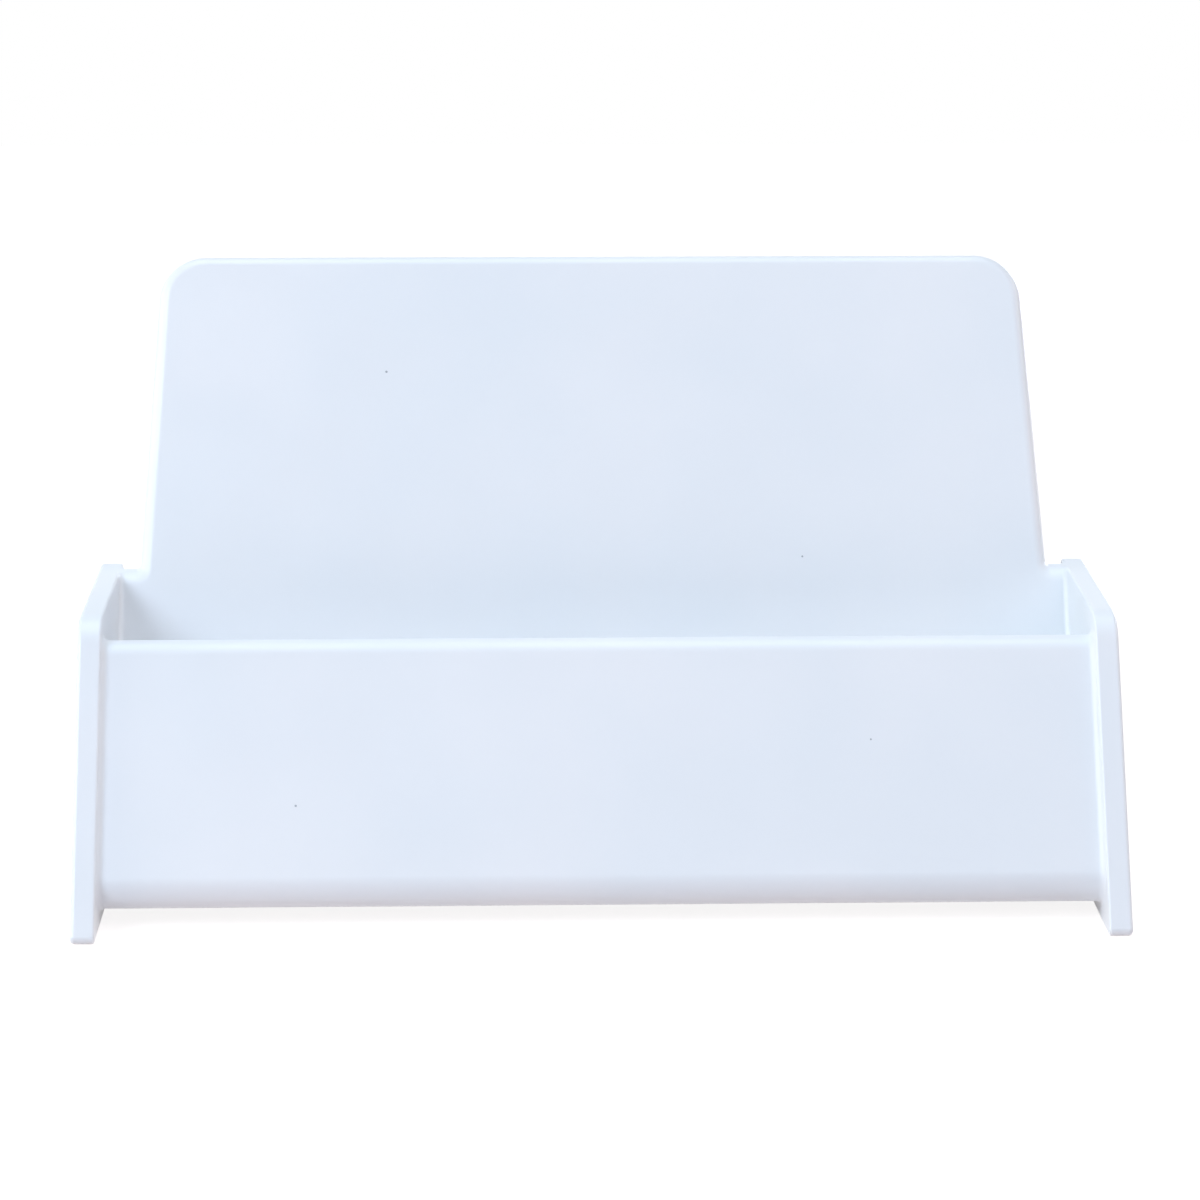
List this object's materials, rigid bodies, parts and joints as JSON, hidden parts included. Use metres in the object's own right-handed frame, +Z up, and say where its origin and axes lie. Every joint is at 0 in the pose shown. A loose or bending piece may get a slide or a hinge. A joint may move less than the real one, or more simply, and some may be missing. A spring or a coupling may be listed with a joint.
{
  "type": "business card holder",
  "caption": "Desktop holder for business cards: low leaning front panel and taller leaning back panel between two side walls, one glossy white moulding, open at the top.",
  "frame": {"origin": "on the desk, under the middle of the holder's width and depth", "axes": "+Z up, +X along the width to the right as seen from the front, the front looks along -Y"},
  "size_m": [0.0984, 0.051, 0.0555],
  "materials": {
    "white_plastic": "injection moulded polystyrene or ABS, cool white, polished mould"
  },
  "bodies": {
    "root": {"left_side_wall": "white_plastic", "right_side_wall": "white_plastic", "front_panel": "white_plastic", "pocket_floor": "white_plastic", "back_panel": "white_plastic"}
  },
  "joints": []
}
